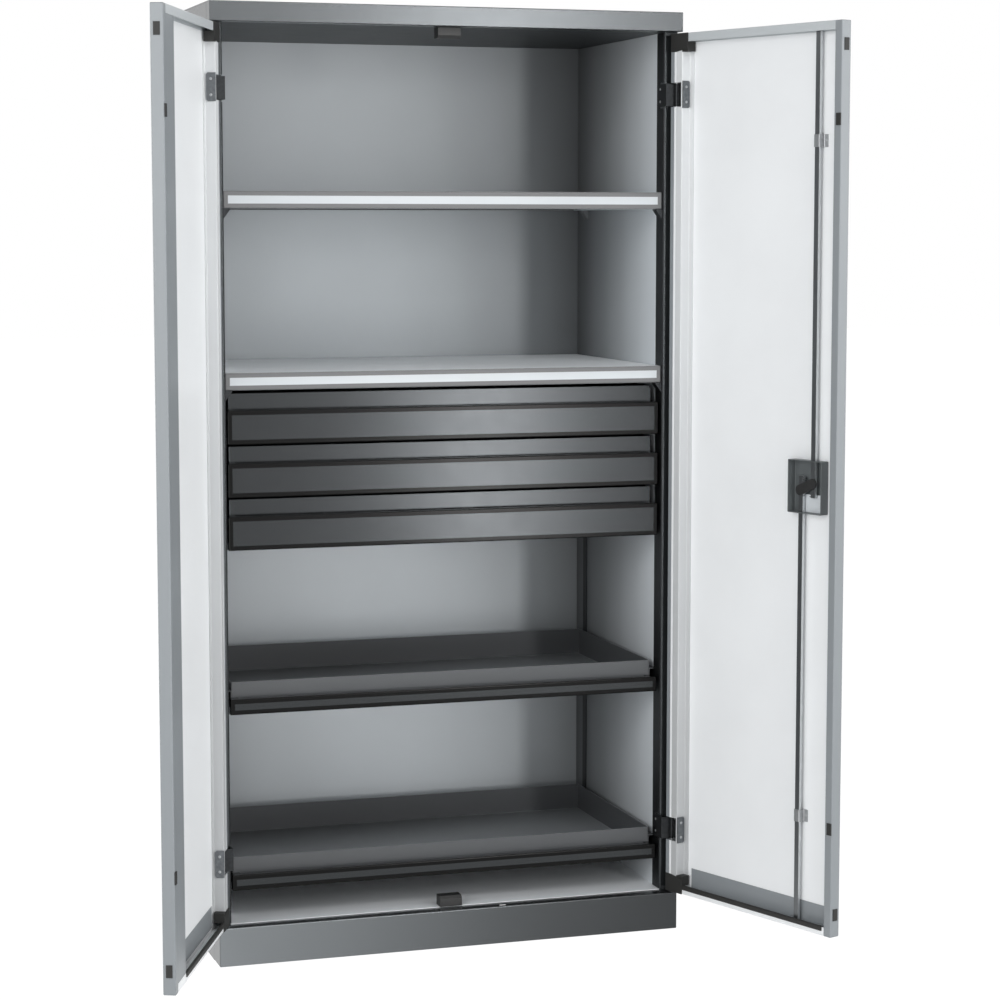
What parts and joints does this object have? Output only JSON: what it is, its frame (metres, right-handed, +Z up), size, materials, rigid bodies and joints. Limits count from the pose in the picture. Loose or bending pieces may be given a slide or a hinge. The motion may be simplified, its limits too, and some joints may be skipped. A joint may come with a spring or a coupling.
{
  "type": "double-door cabinet",
  "caption": "Tall folded-steel workshop cabinet with hinged double doors, shelves, drawers, pull-out trays and a rod lock turned by a handle.",
  "frame": {"origin": "on the floor, in the middle of the plinth's front rail, under the front plane of the carcass", "axes": "+X to the right seen from the front, +Y to the back, +Z up; the doors face -Y"},
  "size_m": [1.3727, 1.0307, 1.95],
  "materials": {
    "carcass_grey": "satin paint",
    "inside_grey": "satin paint",
    "door_light_grey": "satin paint",
    "shelf_light_grey": "satin paint",
    "drawer_anthracite": "satin paint",
    "zinc_steel": "zinc plated",
    "dark_steel": "dark satin",
    "black_rubber": "matte",
    "black_plastic": "matte"
  },
  "bodies": {
    "cabinet": {"back_panel": "inside_grey", "bottom_door_stop": "black_plastic", "ceiling_panel": "inside_grey", "floor_panel": "inside_grey", "left_lower_hinge_leaf": "dark_steel", "left_runner_frame": "dark_steel", "left_side_liner": "inside_grey", "left_side_panel": "inside_grey", "left_upper_hinge_leaf": "dark_steel", "lower_shelf": "shelf_light_grey", "plinth_front_rail": "carcass_grey", "plinth_rails": "carcass_grey", "right_lower_hinge_leaf": "dark_steel", "right_runner_frame": "dark_steel", "right_side_liner": "inside_grey", "right_side_panel": "inside_grey", "right_upper_hinge_leaf": "dark_steel", "top_door_stop": "black_plastic", "top_panel": "carcass_grey", "upper_shelf": "shelf_light_grey"},
    "drawer_1": {"drawer_1_box": "drawer_anthracite", "drawer_1_front": "drawer_anthracite"},
    "drawer_2": {"drawer_2_box": "drawer_anthracite", "drawer_2_front": "drawer_anthracite"},
    "drawer_3": {"drawer_3_box": "drawer_anthracite", "drawer_3_front": "drawer_anthracite"},
    "tray_1": {"tray_1_box": "drawer_anthracite", "tray_1_front": "drawer_anthracite"},
    "tray_2": {"tray_2_box": "drawer_anthracite", "tray_2_front": "drawer_anthracite"},
    "left_door": {"left_door_bottom_corner_pad": "black_rubber", "left_door_bottom_seal": "black_rubber", "left_door_edge_stile": "door_light_grey", "left_door_hinge_stile": "door_light_grey", "left_door_panel": "door_light_grey", "left_door_top_corner_pad": "black_rubber", "left_lower_hinge_bracket": "zinc_steel", "left_lower_hinge_plate": "dark_steel", "left_upper_hinge_bracket": "zinc_steel", "left_upper_hinge_plate": "dark_steel"},
    "right_door": {"handle_rose": "black_plastic", "lock_case": "dark_steel", "lower_rod_guide": "dark_steel", "right_door_bottom_corner_pad": "black_rubber", "right_door_bottom_seal": "black_rubber", "right_door_hinge_stile": "door_light_grey", "right_door_panel": "door_light_grey", "right_door_top_corner_pad": "black_rubber", "right_lower_hinge_bracket": "zinc_steel", "right_lower_hinge_plate": "dark_steel", "right_upper_hinge_bracket": "zinc_steel", "right_upper_hinge_plate": "dark_steel", "upper_rod_guide": "dark_steel"},
    "lock_handle": {"lock_pinion": "zinc_steel", "turn_handle": "black_plastic"},
    "upper_rod": {"upper_rod": "zinc_steel"},
    "lower_rod": {"lower_rod": "zinc_steel"}
  },
  "joints": [
    {"name": "left_door_swing", "type": "hinge", "parent": "cabinet", "child": "left_door", "pos_m": [-0.4925, -0.0165, 1], "axis": [0, 0, -1], "range_deg": [-113, 7]},
    {"name": "right_door_swing", "type": "hinge", "parent": "cabinet", "child": "right_door", "pos_m": [0.4925, -0.0165, 1], "axis": [0, 0, 1], "range_deg": [-110.5, 9.5]},
    {"name": "handle_turn", "type": "hinge", "parent": "right_door", "child": "lock_handle", "pos_m": [0.63241, -0.3907, 0.988], "axis": [-0.9367, -0.3502, 0], "range_deg": [0, 90]},
    {"name": "upper_rod_slide", "type": "slide", "parent": "right_door", "child": "upper_rod", "axis": [0, 0, 1], "range_m": [0, 0.0141]},
    {"name": "lower_rod_slide", "type": "slide", "parent": "right_door", "child": "lower_rod", "axis": [0, 0, -1], "range_m": [0, 0.0142]},
    {"name": "drawer_1_slide", "type": "slide", "parent": "cabinet", "child": "drawer_1", "axis": [0, -1, 0], "range_m": [0, 0.33]},
    {"name": "drawer_2_slide", "type": "slide", "parent": "cabinet", "child": "drawer_2", "axis": [0, -1, 0], "range_m": [0, 0.33]},
    {"name": "drawer_3_slide", "type": "slide", "parent": "cabinet", "child": "drawer_3", "axis": [0, -1, 0], "range_m": [0, 0.33]},
    {"name": "tray_1_slide", "type": "slide", "parent": "cabinet", "child": "tray_1", "axis": [0, -1, 0], "range_m": [0, 0.33]},
    {"name": "tray_2_slide", "type": "slide", "parent": "cabinet", "child": "tray_2", "axis": [0, -1, 0], "range_m": [0, 0.33]}
  ],
  "couplings": [
    {"joint": "handle_turn", "follows": "upper_rod_slide", "rad_per_m": 111.11},
    {"joint": "lower_rod_slide", "follows": "upper_rod_slide", "ratio": 1}
  ]
}
